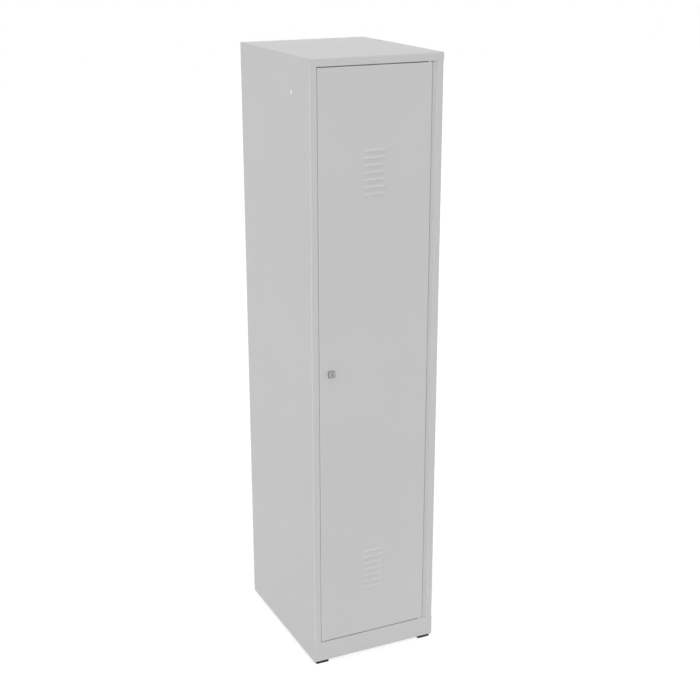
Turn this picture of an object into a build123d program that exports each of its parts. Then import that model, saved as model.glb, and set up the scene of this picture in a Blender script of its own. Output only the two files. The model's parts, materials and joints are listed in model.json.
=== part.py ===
from build123d import *
import os
from math import cos, radians, sqrt

# A single-door steel clothes locker, in millimetres.
# X runs to the right, Y to the back and Z up. The origin is on the floor, under the middle of the body.

# Overall size, measured over the sheet and down to the floor
WIDTH = 400.0
DEPTH = 500.0
HEIGHT = 1800.0

# Sheet steel
SHEET = 0.8
BEND = 1.6  # outside radius of the folds
EDGE_BEND = 3.0  # softer radius of the body's front edges
FLANGE = 15.0  # joining flange of the side, top, floor and back edges

# Front frame
STILE = 22.0
TOP_RAIL = 23.0
PLINTH = 63.0
LOCK_RETURN = 22.0  # depth of the fold behind the left stile
STOP_LIP = 12.0  # lip that the door closes against
HINGE_STEP = 4.0  # the right stile steps back beside the door's hinge edge
HINGE_LEDGE = 9.5  # width of that step
HINGE_RETURN = 16.0  # depth of the fold behind the right stile
RAIL_RETURN = 26.0
RAIL_LIP = 10.0
BASE_RETURN = 50.0  # bottom flanges that the feet are pressed into

# Feet
FOOT_HEIGHT = 8.0
FOOT_SIZE = 41.0
FOOT_CORNER = 4.0
FOOT_EDGE = 1.0
FOOT_SIDE_INSET = 6.5
FOOT_END_INSET = 1.0
FOOT_STEM = 10.0
FOOT_BARB = 11.6
FOOT_BARB_HEIGHT = 6.0
FOOT_BARB_TIP = 7.0
FOOT_CLEARANCE = 0.1

# Joining holes in the sides and wall fixing holes in the back
JOIN_HOLE = 8.0
JOIN_FROM_FRONT = 122.0
JOIN_FROM_TOP = 100.0
PLUG_HEAD = 10.0
PLUG_DOME = 1.0
PLUG_STEM = 7.8
PLUG_REACH = 6.0
PLUG_BARB = 9.0
PLUG_BARB_PLAY = 0.1
PLUG_BARB_LENGTH = 3.0
PLUG_BARB_TAPER = 12.0
PLUG_DOME_EDGE = 0.9
WALL_HOLE = 8.0
WALL_HOLE_SPACING = 300.0
WALL_HOLE_FROM_TOP = 60.0

# Hat shelf
SHELF_FROM_TOP = 220.0  # locker's top to the shelf's top
SHELF_SETBACK = 42.0  # from the front of the body to the front of the shelf
SHELF_LIP = 25.0
SHELF_HEM = 10.0
SHELF_FLANGE = 20.0
SHELF_SIDE_CLEARANCE = 0.5
LUG_SHEET = 1.5
LUG_LENGTH = 25.0
LUG_LEDGE = 16.0
LUG_DROP = 18.0
LUG_SPACING = 330.0

# Hanging rail and coat hooks
RAIL_DROP = 62.0  # from the shelf's top to the middle of the rail
RAIL_HEIGHT = 30.0
RAIL_THICKNESS = 15.0
RAIL_WALL = 1.2
RAIL_OVERHANG = 5.0  # rail past the outside of its bracket
RAIL_CLEARANCE = 0.1
CAP_FLANGE = 2.0
CAP_RIM = 1.0
CAP_PLUG = 8.0
BRACKET_FROM_SIDE = 30.0  # outside of the body to the outside of a rail bracket
BRACKET_SHEET = 1.5
BRACKET_WIDTH = 32.0
BRACKET_TAB = 24.0
BRACKET_BEND = 2.5
BRACKET_CORNER = 10.0
BRACKET_FOOT = 9.0  # metal below the rail
RIVET_SPACING = 18.0
RIVET_SHANK = 4.0
RIVET_CLEARANCE = 0.1
RIVET_CROWN = 0.5
RIVET_HEAD = 8.0
RIVET_HEAD_HEIGHT = 1.2
RIVET_BULB = 6.0
RIVET_BULB_HEIGHT = 2.5
HOOK_SPACING = 100.0
HOOK_CLEARANCE = 0.3
HOOK_RING_WALL = 2.6
HOOK_RING_LENGTH = 10.0
HOOK_WIRE = 6.0
HOOK_STEM = 16.0
HOOK_RADIUS = 11.0
HOOK_TIP_RISE = 8.0
HOOK_BALL = 9.0

# Door
LOCK_GAP = 1.0
HINGE_GAP = 12.0
HEAD_GAP = 2.0
SILL_GAP = 2.0
DOOR_DEPTH = 20.0
DOOR_LIP = 12.0
DOOR_BEND = 2.5  # softer outside radius of the door's own folds
STIFFENER_FROM_HINGE = 81.0  # door's hinge edge to the middle of the stiffener
STIFFENER_WIDTH = 40.0
STIFFENER_DEPTH = 16.0
STIFFENER_FLANGE = 12.0
STIFFENER_END_GAP = 45.0

# Louvres
LOUVRE_COUNT = 7
LOUVRE_PITCH = 20.0
LOUVRE_WIDTH = 64.0
LOUVRE_HEIGHT = 8.0
LOUVRE_PROUD = 2.4
LOUVRE_CREST = 3.5
LOUVRE_END_SLOPE = 6.0
LOUVRE_CORNER = 4.0
LOUVRE_CREST_CORNER = 1.2
LOUVRE_BEND = 0.9
UPPER_LOUVRES_FROM_TOP = 286.5  # door's top to the middle of the upper group
LOWER_LOUVRES_FROM_BOTTOM = 212.5

# Hinge
HINGE_INSET = 7.0  # pin's middle from the door's edge and from its face
HINGE_PIN = 7.0
HINGE_FIT = 0.05
HINGE_COLLAR = 9.0
HINGE_COLLAR_HEIGHT = 3.0
HINGE_PIN_REACH = 8.0
HINGE_PIN_TIP = 1.0
BUSH_BODY = 10.0
BUSH_FLANGE = 12.0
BUSH_DEPTH = 7.0
UPPER_BUSH_FLANGE_HEIGHT = 1.0
SILL_PLAY = 0.1  # under the door, on the lower bush

# Door buffers
BUFFER_HEAD = 8.0
BUFFER_STEM = 4.0
BUFFER_STEM_PLAY = 0.05
BUFFER_EDGE = 0.8
BUFFER_PLAY = 0.2
BUFFER_BACK = 6.0
BUFFER_BACK_HEIGHT = 2.0
BUFFER_SPACING = 1300.0

# Lock
LOCK_FROM_LEFT = 58.5
LOCK_SIZE = 20.0
LOCK_PROUD = 8.0
LOCK_CORNER = 2.5
LOCK_EDGE = 1.2
BARREL = 16.0
BARREL_FLATS = 14.0
BARREL_LENGTH = 11.5
BARREL_CLEARANCE = 0.15
NUT_FLATS = 22.0
NUT_HEIGHT = 4.0
PLUG_FACE = 14.0
PLUG_FACE_DEPTH = 2.5
PLUG_FACE_RECESS = 0.4
PLUG_BODY = 11.0
PLUG_FIT = 0.05
KEYWAY_WIDTH = 1.8
KEYWAY_HEIGHT = 7.0
KEYWAY_DEPTH = 7.0
CAM_SHEET = 2.0
CAM_PLAY = 0.3
CAM_SQUARE = 5.0
CAM_SQUARE_PLAY = 0.1
CAM_RIM = 4.0  # disc outside the pin circle
TONGUE_WIDTH = 12.0
TONGUE_CORNER = 2.0
TONGUE_BITE = 7.0  # tongue past the stile's fold when locked
TONGUE_CLEARANCE = 0.6
SCREW_SHANK = 2.9
SCREW_HOLE = 3.0
SCREW_DEPTH = 7.0
SCREW_HEAD = 8.0
SCREW_HEAD_HEIGHT = 2.2
SCREW_HEAD_EDGE = 0.8
SCREW_END_GAP = 0.5
SCREW_CROSS = 5.0
SCREW_CROSS_WIDTH = 1.1
SCREW_CROSS_DEPTH = 1.3

# Locking rods
PIN_CIRCLE = 13.0  # radius of the two pins on the cam
PIN_SWING = 45.0  # each pin swings this far to both sides of level
CAM_PIN = 3.6
CAM_PIN_PLAY = 0.6
CAM_PIN_END = 0.8
ROD_WIDTH = 13.0
ROD_SHEET = 2.5
ROD_PLAY = 0.4
ROD_END = 7.0
ROD_TIP = 3.0
ROD_SHOW = 1.0
GUIDE_SHEET = 1.0
GUIDE_BEND = 1.2
GUIDE_PLAY = 0.6
GUIDE_FOOT = 10.0
GUIDE_LENGTH = 20.0
GUIDE_DISTANCE = 430.0  # from the lock to each rod guide

# Places worked out from the sizes above
RIGHT = WIDTH / 2
LEFT = -RIGHT
BACK = DEPTH / 2
FRONT = -BACK
BASE = FOOT_HEIGHT
FLOOR = BASE + PLINTH
HEAD = HEIGHT - TOP_RAIL
INSIDE = RIGHT - SHEET
BACK_INSIDE = BACK - 2 * SHEET

DOOR_LEFT = LEFT + STILE + LOCK_GAP
DOOR_RIGHT = RIGHT - STILE - HINGE_GAP
DOOR_BOTTOM = FLOOR + SILL_GAP
DOOR_TOP = HEAD - HEAD_GAP
DOOR_WIDTH = DOOR_RIGHT - DOOR_LEFT
DOOR_HEIGHT = DOOR_TOP - DOOR_BOTTOM
DOOR_MIDDLE = (DOOR_LEFT + DOOR_RIGHT) / 2
DOOR_INSIDE = FRONT + SHEET
DOOR_BACK = FRONT + DOOR_DEPTH
STIFFENER_X = DOOR_RIGHT - STIFFENER_FROM_HINGE

HINGE_X = DOOR_RIGHT - HINGE_INSET
HINGE_Y = FRONT + HINGE_INSET

LOCK_X = LEFT + LOCK_FROM_LEFT
LOCK_Z = (DOOR_BOTTOM + DOOR_TOP) / 2
LOCK_FACE = FRONT - LOCK_PROUD
BARREL_END = FRONT + BARREL_LENGTH
CAM_FRONT = BARREL_END + CAM_PLAY
CAM_BACK = CAM_FRONT + CAM_SHEET
ROD_FRONT = CAM_BACK + ROD_PLAY
ROD_BACK = ROD_FRONT + ROD_SHEET
TONGUE_REACH = LOCK_FROM_LEFT - STILE + TONGUE_BITE
PIN_LEVEL = PIN_CIRCLE * cos(radians(PIN_SWING))  # sideways place of a pin at either end of its swing
PIN_RISE = PIN_CIRCLE * sqrt(1 - cos(radians(PIN_SWING)) ** 2)
ROD_OFFSET = (PIN_CIRCLE + PIN_LEVEL) / 2
UPPER_ROD_X = LOCK_X - ROD_OFFSET
LOWER_ROD_X = LOCK_X + ROD_OFFSET
ROD_Y = (ROD_FRONT + ROD_BACK) / 2

SHELF_TOP = HEIGHT - SHELF_FROM_TOP
SHELF_FRONT = FRONT + SHELF_SETBACK
SHELF_BOTTOM = SHELF_TOP - SHELF_FLANGE
RAIL_Z = SHELF_TOP - RAIL_DROP
BRACKET_OUT = RIGHT - BRACKET_FROM_SIDE
RAIL_END = BRACKET_OUT + RAIL_OVERHANG
BUFFER_X = LEFT + STILE + STOP_LIP / 2
SHELF_SIDE = INSIDE - SHELF_SIDE_CLEARANCE
SHELF_BACK = BACK_INSIDE - SHELF_SIDE_CLEARANCE
SHELF_UNDERSIDE = SHELF_TOP - SHEET
BRACKET_BOTTOM = RAIL_Z - RAIL_HEIGHT / 2 - BRACKET_FOOT
RIVET_X = BRACKET_OUT - BRACKET_TAB / 2
RIVET_GRIP = SHEET + BRACKET_SHEET
JOIN_Y = FRONT + JOIN_FROM_FRONT
JOIN_Z = HEIGHT - JOIN_FROM_TOP
FOOT_X = RIGHT - FOOT_SIDE_INSET - FOOT_SIZE / 2
FOOT_Y = BACK - FOOT_END_INSET - FOOT_SIZE / 2


def front_plane(y):
    """A plane drawn in X and Z that looks to the front, at depth y."""
    return Plane.XZ.offset(-y)


def fold(side, *points, sheet=SHEET, bend=BEND):
    """The section of a folded sheet: points run along one face, the sheet lies to the given side."""
    with BuildLine() as strip:
        FilletPolyline(*points, radius=bend)
        offset(amount=sheet, side=side)
    make_face(strip.edges())


def block(low, high, mode):
    """The box between two corners, added as a flat flange or cut away."""
    low = Vector(*low)
    high = Vector(*high)
    size = high - low
    with Locations((low + high) * 0.5):
        Box(abs(size.X), abs(size.Y), abs(size.Z), mode=mode)


def barrel_section(clearance):
    """The lock barrel's round section with two flats, grown by a clearance."""
    Circle(BARREL / 2 + clearance)
    Rectangle(BARREL_FLATS + 2 * clearance, BARREL + 2 * clearance, mode=Mode.INTERSECT)


def rail_section(growth):
    """The hanging rail's oval section, grown all round."""
    SlotOverall(RAIL_HEIGHT + 2 * growth, RAIL_THICKNESS + 2 * growth, rotation=90)


def tongue_drop(reach):
    """How far below the lock the tongue's corner crosses a wall at this sideways reach."""
    return sqrt(TONGUE_REACH**2 + (TONGUE_WIDTH / 2) ** 2 - reach**2)


def keep(builder, name):
    """Label a finished piece and write it."""
    builder.part.label = name
    export_step(builder.part, f"parts/{name}.step")


os.makedirs("parts", exist_ok=True)

# Side panels
# Each is one sheet: a rear flange, the side itself and the front stile with its fold.
# The stile stops at the top rail and the plinth, which run across the full width of the front.
for name, hand, folds in (
    ("left_side_panel", -1, ((STILE, LOCK_RETURN), (STILE + STOP_LIP, LOCK_RETURN))),
    (
        "right_side_panel",
        1,
        ((STILE, HINGE_STEP), (STILE + HINGE_LEDGE, HINGE_STEP), (STILE + HINGE_LEDGE, HINGE_RETURN)),
    ),
):
    points = [
        (hand * (RIGHT - FLANGE), BACK),
        (hand * RIGHT, BACK),
        (hand * RIGHT, FRONT),
        (hand * (RIGHT - STILE), FRONT),
    ]
    bends = [BEND, EDGE_BEND] + [BEND] * len(folds)
    for inset, depth in folds:
        points.append((hand * (RIGHT - inset), FRONT + depth))
    fold_end, fold_back = points[-1]
    with BuildPart() as side_panel:
        with BuildSketch(Plane.XY.offset(BASE)):
            fold(Side.RIGHT if hand > 0 else Side.LEFT, *points, bend=bends)
        extrude(amount=HEIGHT - BASE)
        for end, seam, fold_stop in ((BASE, FLOOR - BEND, FLOOR), (HEIGHT, HEAD + BEND, HEAD)):
            block((hand * RIGHT, FRONT, end), (fold_end, FRONT + EDGE_BEND, seam), Mode.SUBTRACT)
            block(
                (hand * (RIGHT - STILE + BEND), FRONT, end),
                (fold_end, fold_back + SHEET, fold_stop),
                Mode.SUBTRACT,
            )
        block(
            (hand * RIGHT, BACK - BEND, HEIGHT - FLANGE),
            (hand * (RIGHT - FLANGE), BACK, HEIGHT),
            Mode.SUBTRACT,
        )
        with BuildSketch(Plane.YZ.offset(hand * RIGHT)):
            with Locations((JOIN_Y, JOIN_Z)):
                Circle(JOIN_HOLE / 2)
        extrude(amount=-hand * SHEET, mode=Mode.SUBTRACT)
        if name == "left_side_panel":
            drop = tongue_drop(LOCK_FROM_LEFT - STILE)
            block(
                (LEFT + STILE - SHEET, CAM_FRONT - TONGUE_CLEARANCE, LOCK_Z - drop - TONGUE_CLEARANCE),
                (
                    LEFT + STILE,
                    CAM_BACK + TONGUE_CLEARANCE,
                    LOCK_Z + TONGUE_WIDTH / 2 + TONGUE_CLEARANCE,
                ),
                Mode.SUBTRACT,
            )
            with BuildSketch(front_plane(fold_back)):
                with Locations((BUFFER_X, LOCK_Z)):
                    with GridLocations(0, BUFFER_SPACING, 1, 2):
                        Circle(BUFFER_STEM / 2)
            extrude(amount=-SHEET, mode=Mode.SUBTRACT)
    keep(side_panel, name)

# Back panel, behind the flanges' front faces, with two holes for fixing to a wall
with BuildPart() as back_panel:
    with BuildSketch(front_plane(BACK_INSIDE)):
        with Locations((0, (BASE + HEIGHT - BEND) / 2)):
            Rectangle(2 * (RIGHT - BEND), HEIGHT - BEND - BASE)
        with Locations((0, HEIGHT - WALL_HOLE_FROM_TOP)):
            with GridLocations(WALL_HOLE_SPACING, 0, 2, 1):
                Circle(WALL_HOLE / 2, mode=Mode.SUBTRACT)
    extrude(amount=-SHEET)
keep(back_panel, "back_panel")

# Top panel, folded down at the front into the top rail, whose ends are turned back against the sides
with BuildPart() as top_panel:
    with BuildSketch(Plane.YZ):
        fold(
            Side.LEFT,
            (BACK, HEIGHT - FLANGE),
            (BACK, HEIGHT),
            (FRONT, HEIGHT),
            (FRONT, HEAD),
            (FRONT + RAIL_RETURN, HEAD),
            (FRONT + RAIL_RETURN, HEAD + RAIL_LIP),
            bend=(BEND, EDGE_BEND, BEND, BEND),
        )
    extrude(amount=RIGHT, both=True)
    for hand in (-1, 1):
        block((hand * INSIDE, FRONT + EDGE_BEND, HEAD), (hand * RIGHT, BACK, HEIGHT), Mode.SUBTRACT)
        block(
            (hand * (RIGHT - STILE), FRONT, HEAD),
            (hand * RIGHT, FRONT + EDGE_BEND, HEAD + BEND),
            Mode.SUBTRACT,
        )
        with BuildSketch(Plane.YZ.offset(hand * INSIDE)) as ear:
            with Locations((FRONT, HEIGHT)):
                Rectangle(EDGE_BEND, TOP_RAIL - BEND, align=(Align.MIN, Align.MAX))
            # The sketch's X and Y are the locker's Y and Z: the lower front corner is rounded, the upper square
            fillet(ear.vertices().sort_by(Axis.Y)[:2].sort_by(Axis.X)[0], radius=EDGE_BEND)
        extrude(amount=hand * SHEET)
        block(
            (hand * INSIDE, FRONT + RAIL_RETURN, HEIGHT - FLANGE),
            (hand * (INSIDE - SHEET), BACK_INSIDE, HEIGHT - SHEET),
            Mode.ADD,
        )
    with BuildSketch(Plane.XY.offset(HEAD)):
        with Locations((UPPER_ROD_X, ROD_Y)):
            Rectangle(ROD_WIDTH + 2 * ROD_PLAY, ROD_SHEET + 2 * ROD_PLAY)
        with Locations((HINGE_X, HINGE_Y)):
            Circle(BUSH_BODY / 2 + HINGE_FIT)
    extrude(amount=SHEET, mode=Mode.SUBTRACT)
keep(top_panel, "top_panel")

# Floor panel, folded down at the front into the plinth and back under it for the front feet
with BuildPart() as floor_panel:
    with BuildSketch(Plane.YZ):
        fold(
            Side.RIGHT,
            (FRONT + BASE_RETURN, BASE),
            (FRONT, BASE),
            (FRONT, FLOOR),
            (BACK_INSIDE, FLOOR),
        )
    extrude(amount=RIGHT, both=True)
    for hand in (-1, 1):
        block((hand * INSIDE, FRONT + EDGE_BEND, BASE), (hand * RIGHT, BACK, FLOOR), Mode.SUBTRACT)
        block(
            (hand * (RIGHT - STILE), FRONT, FLOOR - BEND),
            (hand * RIGHT, FRONT + EDGE_BEND, FLOOR),
            Mode.SUBTRACT,
        )
        block((hand * INSIDE, FRONT, BASE + BEND), (hand * RIGHT, FRONT + EDGE_BEND, FLOOR - BEND), Mode.ADD)
        block(
            (hand * INSIDE, FRONT + BASE_RETURN, FLOOR - FLANGE),
            (hand * (INSIDE - SHEET), BACK_INSIDE, FLOOR - SHEET),
            Mode.ADD,
        )
    with BuildSketch(Plane.XY.offset(FLOOR)):
        with Locations((LOWER_ROD_X, ROD_Y)):
            Rectangle(ROD_WIDTH + 2 * ROD_PLAY, ROD_SHEET + 2 * ROD_PLAY)
        with Locations((HINGE_X, HINGE_Y)):
            Circle(BUSH_BODY / 2 + HINGE_FIT)
    extrude(amount=-SHEET, mode=Mode.SUBTRACT)
    with BuildSketch(Plane.XY.offset(BASE)):
        with Locations((0, -FOOT_Y)):
            with GridLocations(2 * FOOT_X, 0, 2, 1):
                Circle(FOOT_STEM / 2 + FOOT_CLEARANCE)
    extrude(amount=SHEET, mode=Mode.SUBTRACT)
keep(floor_panel, "floor_panel")

# Rear base rail, a channel under the floor that carries the rear feet
with BuildPart() as rear_base_rail:
    with BuildSketch(Plane.YZ):
        fold(
            Side.LEFT,
            (BACK_INSIDE - BASE_RETURN, BASE),
            (BACK_INSIDE, BASE),
            (BACK_INSIDE, FLOOR - SHEET),
            (BACK_INSIDE - FLANGE, FLOOR - SHEET),
        )
    extrude(amount=INSIDE - SHEET, both=True)
    with BuildSketch(Plane.XY.offset(BASE)):
        with Locations((0, FOOT_Y)):
            with GridLocations(2 * FOOT_X, 0, 2, 1):
                Circle(FOOT_STEM / 2 + FOOT_CLEARANCE)
    extrude(amount=SHEET, mode=Mode.SUBTRACT)
keep(rear_base_rail, "rear_base_rail")

# Feet: moulded pads with a barbed stem that snaps into the base flanges
for name, x, y in (
    ("foot_front_left", -FOOT_X, -FOOT_Y),
    ("foot_front_right", FOOT_X, -FOOT_Y),
    ("foot_rear_left", -FOOT_X, FOOT_Y),
    ("foot_rear_right", FOOT_X, FOOT_Y),
):
    with BuildPart() as foot:
        with BuildSketch(Plane.XY):
            with Locations((x, y)):
                RectangleRounded(FOOT_SIZE, FOOT_SIZE, FOOT_CORNER)
        extrude(amount=FOOT_HEIGHT)
        chamfer(foot.faces().sort_by(Axis.Z)[0].edges(), length=FOOT_EDGE)
        with BuildSketch(Plane.XY.offset(BASE)):
            with Locations((x, y)):
                Circle(FOOT_STEM / 2)
        extrude(amount=SHEET + FOOT_CLEARANCE)
        with Locations((x, y, BASE + SHEET + FOOT_CLEARANCE)):
            Cone(
                FOOT_BARB / 2,
                FOOT_BARB_TIP / 2,
                FOOT_BARB_HEIGHT,
                align=(Align.CENTER, Align.CENTER, Align.MIN),
            )
    keep(foot, name)

# Plugs that close the joining holes in the sides
for name, hand in (("joining_plug_left", -1), ("joining_plug_right", 1)):
    with BuildPart() as joining_plug:
        with BuildSketch(Plane.YZ.offset(hand * RIGHT)):
            with Locations((JOIN_Y, JOIN_Z)):
                Circle(PLUG_HEAD / 2)
        extrude(amount=hand * PLUG_DOME)
        outer_face = joining_plug.faces().sort_by(Axis.X)[-1 if hand > 0 else 0]
        fillet(outer_face.edges(), radius=PLUG_DOME_EDGE)
        with BuildSketch(Plane.YZ.offset(hand * RIGHT)):
            with Locations((JOIN_Y, JOIN_Z)):
                Circle(PLUG_STEM / 2)
        extrude(amount=-hand * PLUG_REACH)
        with BuildSketch(Plane.YZ.offset(hand * (INSIDE - PLUG_BARB_PLAY))):
            with Locations((JOIN_Y, JOIN_Z)):
                Circle(PLUG_BARB / 2)
        extrude(amount=-hand * PLUG_BARB_LENGTH, taper=PLUG_BARB_TAPER)
    keep(joining_plug, name)

# Hat shelf with a hemmed front lip
with BuildPart() as hat_shelf:
    with BuildSketch(Plane.YZ):
        fold(
            Side.RIGHT,
            (SHELF_FRONT + SHELF_HEM, SHELF_TOP - SHELF_LIP),
            (SHELF_FRONT, SHELF_TOP - SHELF_LIP),
            (SHELF_FRONT, SHELF_TOP),
            (SHELF_BACK, SHELF_TOP),
            (SHELF_BACK, SHELF_BOTTOM),
        )
    extrude(amount=SHELF_SIDE, both=True)
    for hand in (-1, 1):
        block(
            (hand * SHELF_SIDE, SHELF_FRONT + SHELF_HEM, SHELF_BOTTOM),
            (hand * (SHELF_SIDE - SHEET), SHELF_BACK - BEND, SHELF_TOP - SHEET),
            Mode.ADD,
        )
    with BuildSketch(Plane.XY.offset(SHELF_TOP)):
        with GridLocations(2 * RIVET_X, RIVET_SPACING, 2, 2):
            Circle(RIVET_SHANK / 2 + RIVET_CLEARANCE)
    extrude(amount=-SHEET, mode=Mode.SUBTRACT)
keep(hat_shelf, "hat_shelf")

# Shelf lugs: four short angles on the sides that the shelf rests on
with BuildPart() as shelf_lugs:
    for y in (-LUG_SPACING / 2, LUG_SPACING / 2):
        with BuildSketch(front_plane(y)):
            with Locations((INSIDE, SHELF_BOTTOM)):
                Rectangle(LUG_LEDGE, LUG_SHEET, align=(Align.MAX, Align.MAX))
                Rectangle(LUG_SHEET, LUG_DROP, align=(Align.MAX, Align.MAX))
        extrude(amount=LUG_LENGTH / 2, both=True)
    mirror(about=Plane.YZ)
keep(shelf_lugs, "shelf_lugs")

# Hanging rail: an oval tube across the locker
with BuildPart() as hanging_rail:
    with BuildSketch(Plane.YZ):
        with Locations((0, RAIL_Z)):
            rail_section(0)
        with Locations((0, RAIL_Z)):
            SlotOverall(
                RAIL_HEIGHT - 2 * RAIL_WALL,
                RAIL_THICKNESS - 2 * RAIL_WALL,
                rotation=90,
                mode=Mode.SUBTRACT,
            )
    extrude(amount=RAIL_END, both=True)
keep(hanging_rail, "hanging_rail")

for side_name, hand in (("left", -1), ("right", 1)):
    # Rail bracket, hung from the shelf
    with BuildPart() as rail_bracket:
        with BuildSketch(Plane.XZ):
            fold(
                Side.RIGHT if hand > 0 else Side.LEFT,
                (hand * (BRACKET_OUT - BRACKET_TAB), SHELF_UNDERSIDE),
                (hand * BRACKET_OUT, SHELF_UNDERSIDE),
                (hand * BRACKET_OUT, BRACKET_BOTTOM),
                sheet=BRACKET_SHEET,
                bend=BRACKET_BEND,
            )
        extrude(amount=BRACKET_WIDTH / 2, both=True)
        low_corners = rail_bracket.edges().filter_by(Axis.X).group_by(Axis.Z)[0]
        fillet(low_corners, radius=BRACKET_CORNER)
        with BuildSketch(Plane.YZ.offset(hand * BRACKET_OUT)):
            with Locations((0, RAIL_Z)):
                rail_section(RAIL_CLEARANCE)
        extrude(amount=-hand * BRACKET_SHEET, mode=Mode.SUBTRACT)
        with BuildSketch(Plane.XY.offset(SHELF_UNDERSIDE)):
            with Locations((hand * RIVET_X, 0)):
                with GridLocations(0, RIVET_SPACING, 1, 2):
                    Circle(RIVET_SHANK / 2 + RIVET_CLEARANCE)
        extrude(amount=-BRACKET_SHEET, mode=Mode.SUBTRACT)
    keep(rail_bracket, f"rail_bracket_{side_name}")

    # Cap that closes the rail's end
    with BuildPart() as rail_cap:
        with BuildSketch(Plane.YZ.offset(hand * RAIL_END)):
            with Locations((0, RAIL_Z)):
                rail_section(CAP_RIM)
        extrude(amount=hand * CAP_FLANGE)
        with BuildSketch(Plane.YZ.offset(hand * RAIL_END)):
            with Locations((0, RAIL_Z)):
                rail_section(-RAIL_WALL - RAIL_CLEARANCE)
        extrude(amount=-hand * CAP_PLUG)
    keep(rail_cap, f"rail_cap_{side_name}")

# Rivets that hold the brackets to the shelf
with BuildPart() as rivet_form:
    with BuildSketch(Plane.XZ):
        with BuildLine():
            Line((0, 0), (0, RIVET_HEAD_HEIGHT))
            crown = SagittaArc((0, RIVET_HEAD_HEIGHT), (RIVET_HEAD / 2, 0), RIVET_CROWN)
            Polyline(
                crown @ 1,
                (RIVET_SHANK / 2, 0),
                (RIVET_SHANK / 2, -RIVET_GRIP),
                (RIVET_BULB / 2, -RIVET_GRIP),
                (RIVET_BULB / 2, -RIVET_GRIP - RIVET_BULB_HEIGHT),
                (0, -RIVET_GRIP - RIVET_BULB_HEIGHT),
                (0, 0),
            )
        make_face()
    revolve(axis=Axis.Z)
with BuildPart() as bracket_rivets:
    with Locations((0, 0, SHELF_TOP)):
        with GridLocations(2 * RIVET_X, RIVET_SPACING, 2, 2):
            add(rivet_form.part)
keep(bracket_rivets, "bracket_rivets")

# Coat hooks that slide along the rail
hook_names = ("coat_hook_left", "coat_hook_middle", "coat_hook_right")
for number, name in enumerate(hook_names):
    hook_x = (number - (len(hook_names) - 1) / 2) * HOOK_SPACING
    ring_bottom = RAIL_Z - RAIL_HEIGHT / 2 - HOOK_CLEARANCE - HOOK_RING_WALL / 2
    bow_z = ring_bottom - HOOK_STEM
    with BuildPart() as coat_hook:
        with BuildLine(Plane.YZ.offset(hook_x)) as hook_line:
            stem = Line((0, ring_bottom), (0, bow_z))
            bow = CenterArc((-HOOK_RADIUS, bow_z), HOOK_RADIUS, 0, -180)
            Line(bow @ 1, (-2 * HOOK_RADIUS, bow_z + HOOK_TIP_RISE))
        with BuildSketch(Plane(origin=stem @ 0, z_dir=stem % 0)):
            Circle(HOOK_WIRE / 2)
        sweep()
        with Locations((hook_x, -2 * HOOK_RADIUS, bow_z + HOOK_TIP_RISE)):
            Sphere(HOOK_BALL / 2)
        with BuildSketch(Plane.YZ.offset(hook_x)):
            with Locations((0, RAIL_Z)):
                rail_section(HOOK_CLEARANCE + HOOK_RING_WALL)
        extrude(amount=HOOK_RING_LENGTH / 2, both=True)
        with BuildSketch(Plane.YZ.offset(hook_x)):
            with Locations((0, RAIL_Z)):
                rail_section(HOOK_CLEARANCE)
        extrude(amount=HOOK_RING_LENGTH / 2, both=True, mode=Mode.SUBTRACT)
    keep(coat_hook, name)

# One louvre's pressed form: a hood that rises from the sheet and is open along its lower edge
with BuildPart() as louvre_form:
    with BuildSketch(front_plane(0)):
        RectangleRounded(LOUVRE_WIDTH, 2 * LOUVRE_HEIGHT, LOUVRE_CORNER)
    with BuildSketch(front_plane(-LOUVRE_PROUD)):
        RectangleRounded(LOUVRE_WIDTH - 2 * LOUVRE_END_SLOPE, 2 * LOUVRE_CREST, LOUVRE_CREST_CORNER)
    loft()
    fillet(louvre_form.faces().sort_by(Axis.Y)[0].edges(), radius=LOUVRE_BEND)
    split(bisect_by=Plane.XY, keep=Keep.TOP)

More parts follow.
